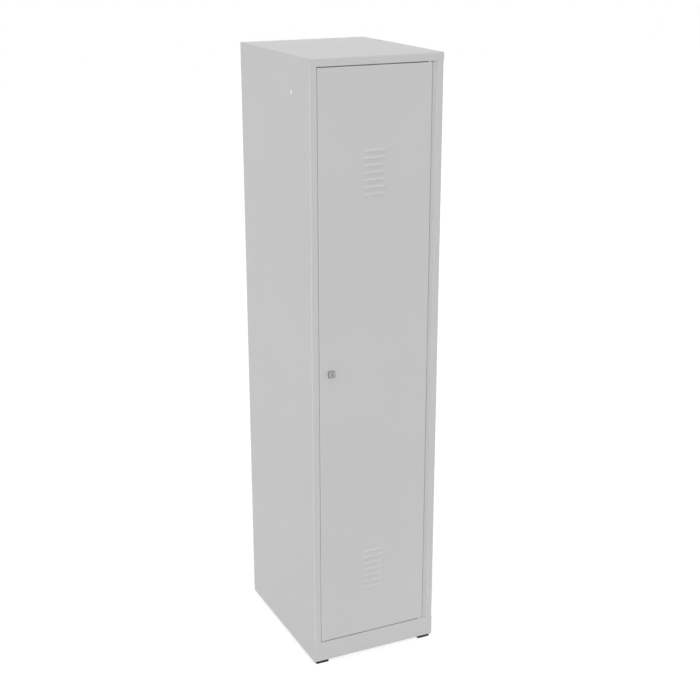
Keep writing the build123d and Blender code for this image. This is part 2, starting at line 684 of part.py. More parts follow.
# Door skin: a shallow pan with inward lips and two groups of louvres.
# The press moves the sheet straight forward, so the hollow is the same form set back by one sheet.
group_middles = (DOOR_TOP - UPPER_LOUVRES_FROM_TOP, DOOR_BOTTOM + LOWER_LOUVRES_FROM_BOTTOM)
louvre_places = [
    (DOOR_MIDDLE, middle - LOUVRE_HEIGHT / 2 + (number - (LOUVRE_COUNT - 1) / 2) * LOUVRE_PITCH)
    for middle in group_middles
    for number in range(LOUVRE_COUNT)
]
with BuildPart() as door_skin:
    with BuildSketch(front_plane(FRONT)):
        with Locations((DOOR_MIDDLE, LOCK_Z)):
            Rectangle(DOOR_WIDTH, DOOR_HEIGHT)
    extrude(amount=-DOOR_DEPTH)
    corners = door_skin.edges().filter_by(Axis.Y)
    face_edges = door_skin.faces().sort_by(Axis.Y)[0].edges()
    fillet(corners + face_edges, radius=DOOR_BEND)
    offset(amount=-SHEET, openings=door_skin.faces().sort_by(Axis.Y)[-1])
    with BuildSketch(front_plane(DOOR_BACK)):
        with Locations((DOOR_MIDDLE, LOCK_Z)):
            RectangleRounded(DOOR_WIDTH - SHEET, DOOR_HEIGHT - SHEET, DOOR_BEND - SHEET / 2)
            Rectangle(DOOR_WIDTH - 2 * DOOR_LIP, DOOR_HEIGHT - 2 * DOOR_LIP, mode=Mode.SUBTRACT)
    extrude(amount=SHEET)
    with Locations(*[(x, FRONT, z) for x, z in louvre_places]):
        add(louvre_form.part)
    with Locations(*[(x, FRONT + SHEET, z) for x, z in louvre_places]):
        add(louvre_form.part, mode=Mode.SUBTRACT)
    with BuildSketch(front_plane(FRONT)):
        with Locations((LOCK_X, LOCK_Z)):
            barrel_section(BARREL_CLEARANCE)
    extrude(amount=-SHEET, mode=Mode.SUBTRACT)
    for z, rod_x, inward in ((DOOR_TOP, UPPER_ROD_X, -SHEET), (DOOR_BOTTOM, LOWER_ROD_X, SHEET)):
        with BuildSketch(Plane.XY.offset(z)):
            with Locations((rod_x, ROD_Y)):
                Rectangle(ROD_WIDTH + 2 * ROD_PLAY, ROD_SHEET + 2 * ROD_PLAY)
            with Locations((HINGE_X, HINGE_Y)):
                Circle(HINGE_PIN / 2 + HINGE_FIT)
        extrude(amount=inward, mode=Mode.SUBTRACT)
    drop = tongue_drop(LOCK_X - DOOR_LEFT - SHEET)
    block(
        (DOOR_LEFT, CAM_FRONT - TONGUE_CLEARANCE, LOCK_Z - drop - TONGUE_CLEARANCE),
        (
            DOOR_LEFT + SHEET,
            CAM_BACK + TONGUE_CLEARANCE,
            LOCK_Z + TONGUE_WIDTH / 2 + TONGUE_CLEARANCE,
        ),
        Mode.SUBTRACT,
    )
keep(door_skin, "door_skin")

# Door stiffener: a hat section welded to the inside of the skin
with BuildPart() as door_stiffener:
    half = STIFFENER_WIDTH / 2
    with BuildSketch(Plane.XY.offset(DOOR_BOTTOM + STIFFENER_END_GAP)):
        fold(
            Side.LEFT,
            (STIFFENER_X - half - STIFFENER_FLANGE, DOOR_INSIDE),
            (STIFFENER_X - half, DOOR_INSIDE),
            (STIFFENER_X - half, DOOR_INSIDE + STIFFENER_DEPTH),
            (STIFFENER_X + half, DOOR_INSIDE + STIFFENER_DEPTH),
            (STIFFENER_X + half, DOOR_INSIDE),
            (STIFFENER_X + half + STIFFENER_FLANGE, DOOR_INSIDE),
        )
    extrude(amount=DOOR_HEIGHT - 2 * STIFFENER_END_GAP)
keep(door_stiffener, "door_stiffener")

# Hinge pins, welded under the door's top fold and over its bottom fold, and the bushes they turn in
for name, inner_face, way, frame_face in (
    ("upper_hinge", DOOR_TOP - SHEET, 1, HEAD),
    ("lower_hinge", DOOR_BOTTOM + SHEET, -1, FLOOR),
):
    collar_start = inner_face - way * HINGE_COLLAR_HEIGHT
    pin_end = frame_face + way * HINGE_PIN_REACH
    with BuildPart() as hinge_pin:
        with BuildSketch(Plane.XY.offset(collar_start)):
            with Locations((HINGE_X, HINGE_Y)):
                Circle(HINGE_COLLAR / 2)
        extrude(amount=way * HINGE_COLLAR_HEIGHT)
        with BuildSketch(Plane.XY.offset(collar_start)):
            with Locations((HINGE_X, HINGE_Y)):
                Circle(HINGE_PIN / 2)
        extrude(amount=pin_end - collar_start)
        tip = hinge_pin.faces().sort_by(Axis.Z)[-1 if way > 0 else 0]
        chamfer(tip.edges(), length=HINGE_PIN_TIP)
    keep(hinge_pin, f"{name}_pin")

    flange_height = UPPER_BUSH_FLANGE_HEIGHT if way > 0 else SILL_GAP - SILL_PLAY
    with BuildPart() as hinge_bush:
        with BuildSketch(Plane.XY.offset(frame_face)):
            with Locations((HINGE_X, HINGE_Y)):
                Circle(BUSH_FLANGE / 2)
        extrude(amount=-way * flange_height)
        with BuildSketch(Plane.XY.offset(frame_face)):
            with Locations((HINGE_X, HINGE_Y)):
                Circle(BUSH_BODY / 2)
        extrude(amount=way * BUSH_DEPTH)
        with BuildSketch(Plane.XY.offset(frame_face - way * flange_height)):
            with Locations((HINGE_X, HINGE_Y)):
                Circle(HINGE_PIN / 2 + HINGE_FIT)
        extrude(amount=way * (flange_height + BUSH_DEPTH), mode=Mode.SUBTRACT)
    keep(hinge_bush, f"{name}_bush")

# Rubber buffers on the stop lip
for name, z in (
    ("upper_door_buffer", LOCK_Z + BUFFER_SPACING / 2),
    ("lower_door_buffer", LOCK_Z - BUFFER_SPACING / 2),
):
    lip_front = FRONT + LOCK_RETURN
    with BuildPart() as door_buffer:
        with BuildSketch(front_plane(lip_front)):
            with Locations((BUFFER_X, z)):
                Circle(BUFFER_HEAD / 2)
        extrude(amount=lip_front - DOOR_BACK - BUFFER_PLAY)
        fillet(door_buffer.faces().sort_by(Axis.Y)[0].edges(), radius=BUFFER_EDGE)
        with BuildSketch(front_plane(lip_front)):
            with Locations((BUFFER_X, z)):
                Circle(BUFFER_STEM / 2 - BUFFER_STEM_PLAY)
        extrude(amount=-SHEET)
        with BuildSketch(front_plane(lip_front + SHEET)):
            with Locations((BUFFER_X, z)):
                Circle(BUFFER_BACK / 2)
        extrude(amount=-BUFFER_BACK_HEIGHT)
    keep(door_buffer, name)

# Lock housing: a square head on the door's face and a barrel through it
with BuildPart() as lock_housing:
    with BuildSketch(front_plane(FRONT)):
        with Locations((LOCK_X, LOCK_Z)):
            RectangleRounded(LOCK_SIZE, LOCK_SIZE, LOCK_CORNER)
    extrude(amount=LOCK_PROUD)
    fillet(lock_housing.faces().sort_by(Axis.Y)[0].edges(), radius=LOCK_EDGE)
    with BuildSketch(front_plane(FRONT)):
        with Locations((LOCK_X, LOCK_Z)):
            barrel_section(0)
    extrude(amount=-BARREL_LENGTH)
    with BuildSketch(front_plane(LOCK_FACE)):
        with Locations((LOCK_X, LOCK_Z)):
            Circle(PLUG_FACE / 2 + PLUG_FIT)
    extrude(amount=-PLUG_FACE_RECESS - PLUG_FACE_DEPTH, mode=Mode.SUBTRACT)
    with BuildSketch(front_plane(LOCK_FACE)):
        with Locations((LOCK_X, LOCK_Z)):
            Circle(PLUG_BODY / 2 + PLUG_FIT)
    extrude(amount=-LOCK_PROUD - BARREL_LENGTH, mode=Mode.SUBTRACT)
keep(lock_housing, "lock_housing")

# Lock nut, behind the skin
with BuildPart() as lock_nut:
    with BuildSketch(front_plane(DOOR_INSIDE)):
        with Locations((LOCK_X, LOCK_Z)):
            RegularPolygon(NUT_FLATS / 2, side_count=6, major_radius=False)
            Circle(BARREL / 2 + BARREL_CLEARANCE, mode=Mode.SUBTRACT)
    extrude(amount=-NUT_HEIGHT)
keep(lock_nut, "lock_nut")

# Lock plug: the turning core with its keyway in front and a square tail behind
with BuildPart() as lock_plug:
    face_y = LOCK_FACE + PLUG_FACE_RECESS
    with BuildSketch(front_plane(face_y)):
        with Locations((LOCK_X, LOCK_Z)):
            Circle(PLUG_FACE / 2)
    extrude(amount=-PLUG_FACE_DEPTH)
    with BuildSketch(front_plane(face_y)):
        with Locations((LOCK_X, LOCK_Z)):
            Circle(PLUG_BODY / 2)
    extrude(amount=face_y - CAM_FRONT)
    with BuildSketch(front_plane(CAM_FRONT)):
        with Locations((LOCK_X, LOCK_Z)):
            Rectangle(CAM_SQUARE, CAM_SQUARE)
    extrude(amount=-CAM_SHEET + CAM_SQUARE_PLAY)
    with BuildSketch(front_plane(face_y)):
        with Locations((LOCK_X, LOCK_Z)):
            Rectangle(KEYWAY_WIDTH, KEYWAY_HEIGHT)
    extrude(amount=-KEYWAY_DEPTH, mode=Mode.SUBTRACT)
    with BuildSketch(front_plane(CAM_BACK)):
        with Locations((LOCK_X, LOCK_Z)):
            Circle(SCREW_HOLE / 2)
    extrude(amount=CAM_SHEET + SCREW_DEPTH, mode=Mode.SUBTRACT)
keep(lock_plug, "lock_plug")

# Lock cam: a disc with the tongue, hanging down while unlocked, and two pins that drive the rods
with BuildPart() as lock_cam:
    with BuildSketch(front_plane(CAM_FRONT)):
        with Locations((LOCK_X, LOCK_Z)):
            Rectangle(TONGUE_WIDTH, TONGUE_REACH, align=(Align.CENTER, Align.MAX))
            Circle(PIN_CIRCLE + CAM_RIM)
            Rectangle(CAM_SQUARE + CAM_SQUARE_PLAY, CAM_SQUARE + CAM_SQUARE_PLAY, mode=Mode.SUBTRACT)
    extrude(amount=-CAM_SHEET)
    tongue_tip = lock_cam.edges().filter_by(Axis.Y).group_by(Axis.Z)[0]
    fillet(tongue_tip, radius=TONGUE_CORNER)
    with BuildSketch(front_plane(CAM_BACK)):
        with Locations(
            (LOCK_X - PIN_LEVEL, LOCK_Z - PIN_RISE),
            (LOCK_X + PIN_LEVEL, LOCK_Z + PIN_RISE),
        ):
            Circle(CAM_PIN / 2)
    extrude(amount=CAM_BACK - ROD_BACK - CAM_PIN_END)
keep(lock_cam, "lock_cam")

# Cam screw
with BuildPart() as cam_screw:
    with BuildSketch(front_plane(CAM_BACK)):
        with Locations((LOCK_X, LOCK_Z)):
            Circle(SCREW_HEAD / 2)
    extrude(amount=-SCREW_HEAD_HEIGHT)
    fillet(cam_screw.faces().sort_by(Axis.Y)[-1].edges(), radius=SCREW_HEAD_EDGE)
    with BuildSketch(front_plane(CAM_BACK)):
        with Locations((LOCK_X, LOCK_Z)):
            Circle(SCREW_SHANK / 2)
    extrude(amount=CAM_SHEET + SCREW_DEPTH - SCREW_END_GAP)
    with BuildSketch(front_plane(CAM_BACK + SCREW_HEAD_HEIGHT)):
        with Locations((LOCK_X, LOCK_Z)):
            Rectangle(SCREW_CROSS, SCREW_CROSS_WIDTH)
            Rectangle(SCREW_CROSS_WIDTH, SCREW_CROSS)
    extrude(amount=SCREW_CROSS_DEPTH, mode=Mode.SUBTRACT)
keep(cam_screw, "cam_screw")

# Locking rods and the straps that guide them
for name, rod_x, way, rod_tip in (
    ("upper_rod", UPPER_ROD_X, 1, DOOR_TOP + ROD_SHOW),
    ("lower_rod", LOWER_ROD_X, -1, DOOR_BOTTOM - ROD_SHOW),
):
    slot_z = LOCK_Z - way * PIN_RISE
    rod_start = slot_z - way * ROD_END
    with BuildPart() as rod:
        with BuildSketch(front_plane(ROD_FRONT)) as rod_face:
            with Locations((rod_x, (rod_start + rod_tip) / 2)):
                Rectangle(ROD_WIDTH, abs(rod_tip - rod_start))
            chamfer(rod_face.vertices().group_by(Axis.Y)[-1 if way > 0 else 0], length=ROD_TIP)
            with Locations((rod_x, slot_z)):
                SlotOverall(
                    PIN_CIRCLE - PIN_LEVEL + CAM_PIN + 2 * CAM_PIN_PLAY,
                    CAM_PIN + 2 * CAM_PIN_PLAY,
                    mode=Mode.SUBTRACT,
                )
        extrude(amount=-ROD_SHEET)
    keep(rod, name)

    half = ROD_WIDTH / 2 + GUIDE_PLAY
    with BuildPart() as rod_guide:
        with BuildSketch(Plane.XY.offset(LOCK_Z + way * GUIDE_DISTANCE)):
            fold(
                Side.LEFT,
                (rod_x - half - GUIDE_FOOT, DOOR_INSIDE),
                (rod_x - half, DOOR_INSIDE),
                (rod_x - half, ROD_BACK + GUIDE_PLAY),
                (rod_x + half, ROD_BACK + GUIDE_PLAY),
                (rod_x + half, DOOR_INSIDE),
                (rod_x + half + GUIDE_FOOT, DOOR_INSIDE),
                sheet=GUIDE_SHEET,
                bend=GUIDE_BEND,
            )
        extrude(amount=GUIDE_LENGTH / 2, both=True)
    keep(rod_guide, f"{name}_guide")
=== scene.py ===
# %% [markdown]
# A single steel clothes locker, dressed for its portrait.
# The folded panels, the door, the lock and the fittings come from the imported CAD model, which is
# the fixed frame. This file gives each piece its finish, adds the small marks of welding and
# riveting and the lock's thread, and sets up camera and light.

# %% Load the frame
import json
import math

import bpy
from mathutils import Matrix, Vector


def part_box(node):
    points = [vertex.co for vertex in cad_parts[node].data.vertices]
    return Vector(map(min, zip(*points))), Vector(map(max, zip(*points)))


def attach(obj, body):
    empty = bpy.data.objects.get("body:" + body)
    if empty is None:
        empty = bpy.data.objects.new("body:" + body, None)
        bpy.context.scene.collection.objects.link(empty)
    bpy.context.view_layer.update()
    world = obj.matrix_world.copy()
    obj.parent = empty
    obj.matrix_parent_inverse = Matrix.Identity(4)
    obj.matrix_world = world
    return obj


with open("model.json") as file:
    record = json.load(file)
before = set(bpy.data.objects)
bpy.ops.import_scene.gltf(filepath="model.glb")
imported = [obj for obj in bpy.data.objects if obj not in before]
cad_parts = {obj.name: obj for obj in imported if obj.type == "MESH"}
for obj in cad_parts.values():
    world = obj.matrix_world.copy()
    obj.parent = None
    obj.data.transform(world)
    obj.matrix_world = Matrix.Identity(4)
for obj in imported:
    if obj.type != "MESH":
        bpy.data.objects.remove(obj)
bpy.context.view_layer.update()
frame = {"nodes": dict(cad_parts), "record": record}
nodes = frame["nodes"]
print("pieces from the CAD model:", len(nodes))

# %% [markdown]
# The photograph looks down a little on the locker from its left front.
# Seven corners of the body were enough to work out where such a camera stands and how wide it
# sees. A long lens far away would flatten the sides; this one is normal, so the sides still run
# together slightly.

# %% Camera
CAMERA_PLACE = Vector((-1.5754, -3.4066, 2.1612))
CAMERA_AZIMUTH = math.radians(-25.312)
CAMERA_ELEVATION = math.radians(18.568)
FIELD_OF_VIEW = math.radians(30.0)
SENSOR_WIDTH = 36.0
CLIP_END = 200.0

scene = bpy.context.scene
camera_data = bpy.data.cameras.new("photo_camera")
camera_data.sensor_width = SENSOR_WIDTH
camera_data.lens = SENSOR_WIDTH / (2 * math.tan(FIELD_OF_VIEW / 2))
camera_data.clip_end = CLIP_END
camera = bpy.data.objects.new("photo_camera", camera_data)
scene.collection.objects.link(camera)
towards_camera = Vector((
    math.sin(CAMERA_AZIMUTH) * math.cos(CAMERA_ELEVATION),
    -math.cos(CAMERA_AZIMUTH) * math.cos(CAMERA_ELEVATION),
    math.sin(CAMERA_ELEVATION),
))
camera.location = CAMERA_PLACE
camera.rotation_mode = "QUATERNION"
camera.rotation_quaternion = (-towards_camera).to_track_quat("-Z", "Y")
scene.camera = camera
print("lens in mm:", round(camera_data.lens, 2))

# %% [markdown]
# Light, finishes and the small shapes are all made by node trees, and several of them do sums.
# One helper adds the node for a sum. Its values are numbers or the outputs of other nodes.


# %% Helper for sums
def maths(tree, operation, *values):
    """A maths node in a tree; each value is a number or another node's output."""
    node = tree.nodes.new("ShaderNodeMath")
    node.operation = operation
    for socket, value in zip(node.inputs, values):
        if isinstance(value, float):
            socket.default_value = value
        else:
            tree.links.new(value, socket)
    return node.outputs[0]


print("helper ready")

# %% [markdown]
# The picture was made as in a light tent: pure white all round and hardly a shadow on the locker.
# A sky alone would leave the gaps round the door black, so most of the light comes from wide,
# soft lamps. The one beside the camera reaches into everything that the camera sees, the one above
# makes the top brightest, and the one on the left makes that side a shade brighter than the front.
# Two more light the sides away from the camera. The lamps leave no shine of their own.
# The sky has two strengths. Reflections, like the camera, see it as plain even white, and the rays
# that carry light find it much weaker.


# %% Sky and lamps
def seen_directly(tree):
    """1 for rays from the camera, a reflection or a clear body, 0 for the rays that carry light."""
    rays = tree.nodes.new("ShaderNodeLightPath").outputs
    straight = maths(tree, "MAXIMUM", rays["Is Camera Ray"], rays["Is Glossy Ray"])
    return maths(tree, "MAXIMUM", straight, rays["Is Transmission Ray"])


def grey(level):
    """A neutral colour for a socket."""
    return (level, level, level, 1)


SKY_LIGHT = 0.25
SKY_SEEN = 1.0
LAMP_SPREAD = math.radians(35)
LAMPS = {  # name: (direction towards the lamp, strength)
    "lamp_by_camera": ((-0.405, -0.857, 0.319), 1.90),
    "lamp_above": ((-0.05, -0.05, 1.0), 0.96),
    "lamp_left": ((-0.97, -0.1, 0.2), 0.91),
    "lamp_right": ((0.97, 0.0, 0.2), 1.35),
    "lamp_behind": ((0.0, 0.97, 0.2), 1.35),
}

scene.view_settings.view_transform = "Standard"
sky = bpy.data.worlds.new("white_studio")
scene.world = sky
sky.use_nodes = True
sky_tree = sky.node_tree
sky_tree.nodes.clear()
sky_out = sky_tree.nodes.new("ShaderNodeOutputWorld")
sky_mix = sky_tree.nodes.new("ShaderNodeMixShader")
for socket, strength in ((1, SKY_LIGHT), (2, SKY_SEEN)):
    white = sky_tree.nodes.new("ShaderNodeBackground")
    white.inputs["Color"].default_value = grey(1.0)
    white.inputs["Strength"].default_value = strength
    sky_tree.links.new(white.outputs[0], sky_mix.inputs[socket])
sky_tree.links.new(seen_directly(sky_tree), sky_mix.inputs["Fac"])
sky_tree.links.new(sky_mix.outputs[0], sky_out.inputs["Surface"])

for name, (direction, strength) in LAMPS.items():
    lamp_data = bpy.data.lights.new(name, "SUN")
    lamp_data.energy = strength
    lamp_data.angle = LAMP_SPREAD
    lamp = bpy.data.objects.new(name, lamp_data)
    scene.collection.objects.link(lamp)
    lamp.rotation_mode = "QUATERNION"
    lamp.rotation_quaternion = Vector(direction).to_track_quat("Z", "Y")
    lamp.visible_glossy = False
print("sky:", SKY_LIGHT, "lamps:", ", ".join(LAMPS))

# %% [markdown]
# The floor is a plain sheet of pale paper, big enough to run out of the picture.
# Seen by the camera it is mostly white of its own, so that it melts into the ground of the picture,
# and the rest is lit paper, which keeps the soft shadow that makes the locker stand on it.

# %% Floor
FLOOR_HALF = 14.0
OWN_WHITE = 0.8
LIT_PAPER = 0.27
BOUNCE = 0.55  # what the paper throws back onto the locker
CORNERS = ((-1, -1), (1, -1), (1, 1), (-1, 1))

floor_mesh = bpy.data.meshes.new("paper_floor")
floor_points = [(x * FLOOR_HALF, y * FLOOR_HALF, 0) for x, y in CORNERS]
floor_mesh.from_pydata(floor_points, [], [(0, 1, 2, 3)])
paper_floor = bpy.data.objects.new("paper_floor", floor_mesh)
scene.collection.objects.link(paper_floor)
paper = bpy.data.materials.new("pale_paper")
paper.use_nodes = True
paper_tree = paper.node_tree
paper_tree.nodes.clear()
paper_out = paper_tree.nodes.new("ShaderNodeOutputMaterial")
paper_light = paper_tree.nodes.new("ShaderNodeBsdfDiffuse")
paper_light.inputs["Color"].default_value = grey(BOUNCE)
paper_lit = paper_tree.nodes.new("ShaderNodeBsdfDiffuse")
paper_lit.inputs["Color"].default_value = grey(LIT_PAPER)
paper_white = paper_tree.nodes.new("ShaderNodeEmission")
paper_white.inputs["Color"].default_value = grey(OWN_WHITE)
paper_seen = paper_tree.nodes.new("ShaderNodeAddShader")
paper_mix = paper_tree.nodes.new("ShaderNodeMixShader")
paper_tree.links.new(paper_lit.outputs[0], paper_seen.inputs[0])
paper_tree.links.new(paper_white.outputs[0], paper_seen.inputs[1])
paper_tree.links.new(seen_directly(paper_tree), paper_mix.inputs["Fac"])
paper_tree.links.new(paper_light.outputs[0], paper_mix.inputs[1])
paper_tree.links.new(paper_seen.outputs[0], paper_mix.inputs[2])
paper_tree.links.new(paper_mix.outputs[0], paper_out.inputs["Surface"])
floor_mesh.materials.append(paper)
print("floor half size:", FLOOR_HALF)

# %% [markdown]
# Every finish below starts the same way: a surface shader, and a place on the object to hang
# patterns on. Object coordinates are in metres, so a noise of scale 1000 has grains of about a
# millimetre. Every finish also ends the same way: one pattern makes the colour, one the roughness
# and one the fine relief.


# %% Helpers for finishes
NOISE_LOW, NOISE_HIGH = 0.3, 0.7  # most of a noise pattern's values lie between these


def start_finish(name, metallic=0.0):
    """A new material with one surface shader; returns the material, its tree and coordinates."""
    finish = bpy.data.materials.new(name)
    finish.use_nodes = True
    tree = finish.node_tree
    tree.nodes["Principled BSDF"].inputs["Metallic"].default_value = metallic
    place = tree.nodes.new("ShaderNodeTexCoord")
    return finish, tree, place.outputs["Object"]


def grain(tree, place, scale, detail=2.0, stretch=(1, 1, 1)):
    """A noise pattern on the object; a small stretch along an axis draws it out into lines."""
    mapping = tree.nodes.new("ShaderNodeMapping")
    mapping.inputs["Scale"].default_value = stretch
    tree.links.new(place, mapping.inputs["Vector"])
    noise = tree.nodes.new("ShaderNodeTexNoise")
    noise.inputs["Scale"].default_value = scale
    noise.inputs["Detail"].default_value = detail
    tree.links.new(mapping.outputs["Vector"], noise.inputs["Vector"])
    return noise.outputs["Fac"]


def between(tree, value, low, high):
    """Spread a pattern's middle part over a range of numbers."""
    spread = tree.nodes.new("ShaderNodeMapRange")
    spread.inputs["From Min"].default_value = NOISE_LOW
    spread.inputs["From Max"].default_value = NOISE_HIGH
    spread.inputs["To Min"].default_value = low
    spread.inputs["To Max"].default_value = high
    tree.links.new(value, spread.inputs["Value"])
    return spread.outputs["Result"]


def two_tones(tree, value, first, second):
    """Mix two near colours by a pattern."""
    mix = tree.nodes.new("ShaderNodeMix")
    mix.data_type = "RGBA"
    mix.inputs["A"].default_value = (*first, 1)
    mix.inputs["B"].default_value = (*second, 1)
    tree.links.new(between(tree, value, 0, 1), mix.inputs["Factor"])
    return mix.outputs["Result"]


def relief(tree, value, strength, depth):
    """Turn a pattern into a fine relief for the shader's normal."""
    bump = tree.nodes.new("ShaderNodeBump")
    bump.inputs["Strength"].default_value = strength
    bump.inputs["Distance"].default_value = depth
    tree.links.new(value, bump.inputs["Height"])
    return bump.outputs["Normal"]


def end_finish(tree, colour, roughness, normal, shine=None):
    """Join the patterns to the shader; shine is how much a surface that isn't metal reflects."""
    sockets = tree.nodes["Principled BSDF"].inputs
    tree.links.new(colour, sockets["Base Color"])
    tree.links.new(roughness, sockets["Roughness"])
    tree.links.new(normal, sockets["Normal"])
    if shine is not None:
        sockets["Specular IOR Level"].default_value = shine


print("helpers ready")

# %% [markdown]
# Powder coat is sprayed on dry and melted in an oven. It flows out into a faint orange peel about a
# millimetre across, a little duller in places, and its grey is never quite even over a large sheet.
# So the colour gets a wide soft mottle, the gloss a middle-sized one, and the relief a fine one.


# %% Powder coat
def powder_coat():
    finish, tree, place = start_finish("powder_coat_grey")
    mottle = grain(tree, place, scale=2.2, detail=3.0)
    dull_patches = grain(tree, place, scale=40.0)
    orange_peel = grain(tree, place, scale=850.0, detail=1.0)
    end_finish(
        tree,
        colour=two_tones(tree, mottle, (0.522, 0.523, 0.524), (0.541, 0.541, 0.540)),
        roughness=between(tree, dull_patches, low=0.44, high=0.52),
        normal=relief(tree, orange_peel, strength=0.10, depth=0.0004),
        shine=0.45,
    )
    return finish


coat = powder_coat()
print("finish:", coat.name)

# %% [markdown]
# The feet, rail caps and coat hooks are moulded in black plastic. The mould was spark-eroded, so
# the surface has a fine even grain that kills the shine, with slightly lighter, drier patches.


# %% Black plastic
def moulded_black():
    finish, tree, place = start_finish("moulded_black")
    light_patches = grain(tree, place, scale=60.0)
    dry_patches = grain(tree, place, scale=180.0)
    spark_grain = grain(tree, place, scale=2600.0, detail=0.0)
    end_finish(
        tree,
        colour=two_tones(tree, light_patches, (0.004, 0.004, 0.0042), (0.008, 0.008, 0.0083)),
        roughness=between(tree, dry_patches, low=0.46, high=0.62),
        normal=relief(tree, spark_grain, strength=0.35, depth=0.00012),
        shine=0.25,
    )
    return finish


black = moulded_black()
print("finish:", black.name)

# %% [markdown]
# The plugs in the joining holes and the hinge bushes are plain off-white nylon, slightly waxy to
# look at.


# %% Off-white nylon
def nylon():
    finish, tree, place = start_finish("nylon_off_white")
    clouds = grain(tree, place, scale=300.0)
    waxy_patches = grain(tree, place, scale=700.0)
    skin = grain(tree, place, scale=1800.0, detail=0.0)
    end_finish(
        tree,
        colour=two_tones(tree, clouds, (0.80, 0.80, 0.785), (0.86, 0.86, 0.85)),
        roughness=between(tree, waxy_patches, low=0.34, high=0.46),
        normal=relief(tree, skin, strength=0.15, depth=0.0001),
    )
    return finish


pale = nylon()
print("finish:", pale.name)

# %% [markdown]
# Brackets, rods, cam, nut and pins are bright zinc plate over sheared strip steel. Plating leaves a
# patchy, slightly blue grey with fine lines from rolling, which run along the strip: up and down on
# the rods.


# %% Zinc plate
def zinc_plate():
    finish, tree, place = start_finish("zinc_plate", metallic=1.0)
    patches = grain(tree, place, scale=110.0, detail=3.0)
    lines = grain(tree, place, scale=1500.0, stretch=(1, 1, 0.02))
    end_finish(
        tree,
        colour=two_tones(tree, patches, (0.50, 0.51, 0.525), (0.58, 0.585, 0.595)),
        roughness=between(tree, lines, low=0.30, high=0.44),
        normal=relief(tree, lines, strength=0.03, depth=0.0001),
    )
    return finish


zinc = zinc_plate()
print("finish:", zinc.name)

# %% [markdown]
# The hanging rail is an oval tube with a bright plated skin. It was drawn through a die, so the
# hair lines that break up its reflections run along the tube, from side to side.


# %% Bright tube
def bright_tube():
    finish, tree, place = start_finish("bright_tube", metallic=1.0)
    lines = grain(tree, place, scale=1400.0, stretch=(0.01, 1, 1))
    end_finish(
        tree,
        colour=two_tones(tree, lines, (0.66, 0.67, 0.68), (0.72, 0.725, 0.73)),
        roughness=between(tree, lines, low=0.12, high=0.20),
        normal=relief(tree, lines, strength=0.05, depth=0.0001),
    )
    return finish


tube = bright_tube()
print("finish:", tube.name)

# %% [markdown]
# The lock is a die casting with a satin nickel plate: a mid grey metal, blasted before plating, so
# it is soft in its reflections and shows a fine sandy grain.


# %% Satin nickel
def satin_nickel():
    finish, tree, place = start_finish("satin_nickel", metallic=1.0)
    clouds = grain(tree, place, scale=240.0)
    soft_patches = grain(tree, place, scale=900.0)
    sand = grain(tree, place, scale=4200.0, detail=0.0)
    end_finish(
        tree,
        colour=two_tones(tree, clouds, (0.365, 0.365, 0.37), (0.435, 0.435, 0.44)),
        roughness=between(tree, soft_patches, low=0.36, high=0.48),
        normal=relief(tree, sand, strength=0.25, depth=0.00008),
    )
    return finish


nickel = satin_nickel()
print("finish:", nickel.name)

# %% [markdown]
# Blind rivets are bare aluminium with a dull, slightly scratched head. The door buffers are soft
# dark rubber with a dusty skin.


# %% Aluminium and rubber
def rivet_aluminium():
    finish, tree, place = start_finish("rivet_aluminium", metallic=1.0)
    clouds = grain(tree, place, scale=500.0)
    scratches = grain(tree, place, scale=1200.0, stretch=(1, 0.15, 1))
    end_finish(
        tree,
        colour=two_tones(tree, clouds, (0.62, 0.625, 0.63), (0.74, 0.745, 0.75)),
        roughness=between(tree, scratches, low=0.32, high=0.50),
        normal=relief(tree, scratches, strength=0.12, depth=0.0001),
    )
    return finish


def buffer_rubber():
    finish, tree, place = start_finish("buffer_rubber")
    dust = grain(tree, place, scale=220.0)
    dull_patches = grain(tree, place, scale=400.0)
    skin = grain(tree, place, scale=2200.0, detail=0.0)
    end_finish(
        tree,
        colour=two_tones(tree, dust, (0.040, 0.040, 0.041), (0.065, 0.064, 0.063)),
        roughness=between(tree, dull_patches, low=0.70, high=0.88),
        normal=relief(tree, skin, strength=0.3, depth=0.0001),
    )
    return finish


aluminium = rivet_aluminium()
rubber = buffer_rubber()
print("finishes:", aluminium.name, rubber.name)

# %% [markdown]
# The CAD pieces keep their shapes, so each one only needs its finish. The record says which slot
# every node has.

# %% Finishes onto the CAD pieces
finish_of_slot = {
    "paint": coat,
    "black_plastic": black,
    "pale_plastic": pale,
    "zinc_steel": zinc,
    "bright_steel": tube,
    "lock_metal": nickel,
    "aluminium": aluminium,
    "rubber": rubber,
}
for part in frame["record"]["subparts"]:
    mesh = nodes[part["node"]].data
    mesh.materials.clear()
    mesh.materials.append(finish_of_slot[part["material_slot"]])

# %% [markdown]
# Small shapes that repeat are grown by Geometry Nodes. A tree starts with a named input for each
# size and for the finish, and it ends by making its instances real and giving them that finish.
# To use a tree, an object carries it for a moment. The inputs are set by the sockets' identifiers
# before the object is looked at for the first time, and the result is kept as a plain mesh.


# %% Helpers for growing shapes
def start_tree(name, sizes, points=()):
    """A tree with an input for each size and point; returns the tree and its inputs' sockets."""
    tree = bpy.data.node_groups.new(name, "GeometryNodeTree")
    face = tree.interface
    face.new_socket("Seed", in_out="INPUT", socket_type="NodeSocketGeometry")
    for label, value in sizes.items():
        size = face.new_socket(label, in_out="INPUT", socket_type="NodeSocketFloat")
        size.default_value = value
    for label in points:
        face.new_socket(label, in_out="INPUT", socket_type="NodeSocketVector")
    face.new_socket("Finish", in_out="INPUT", socket_type="NodeSocketMaterial")
    face.new_socket("Shape", in_out="OUTPUT", socket_type="NodeSocketGeometry")
    return tree, tree.nodes.new("NodeGroupInput").outputs


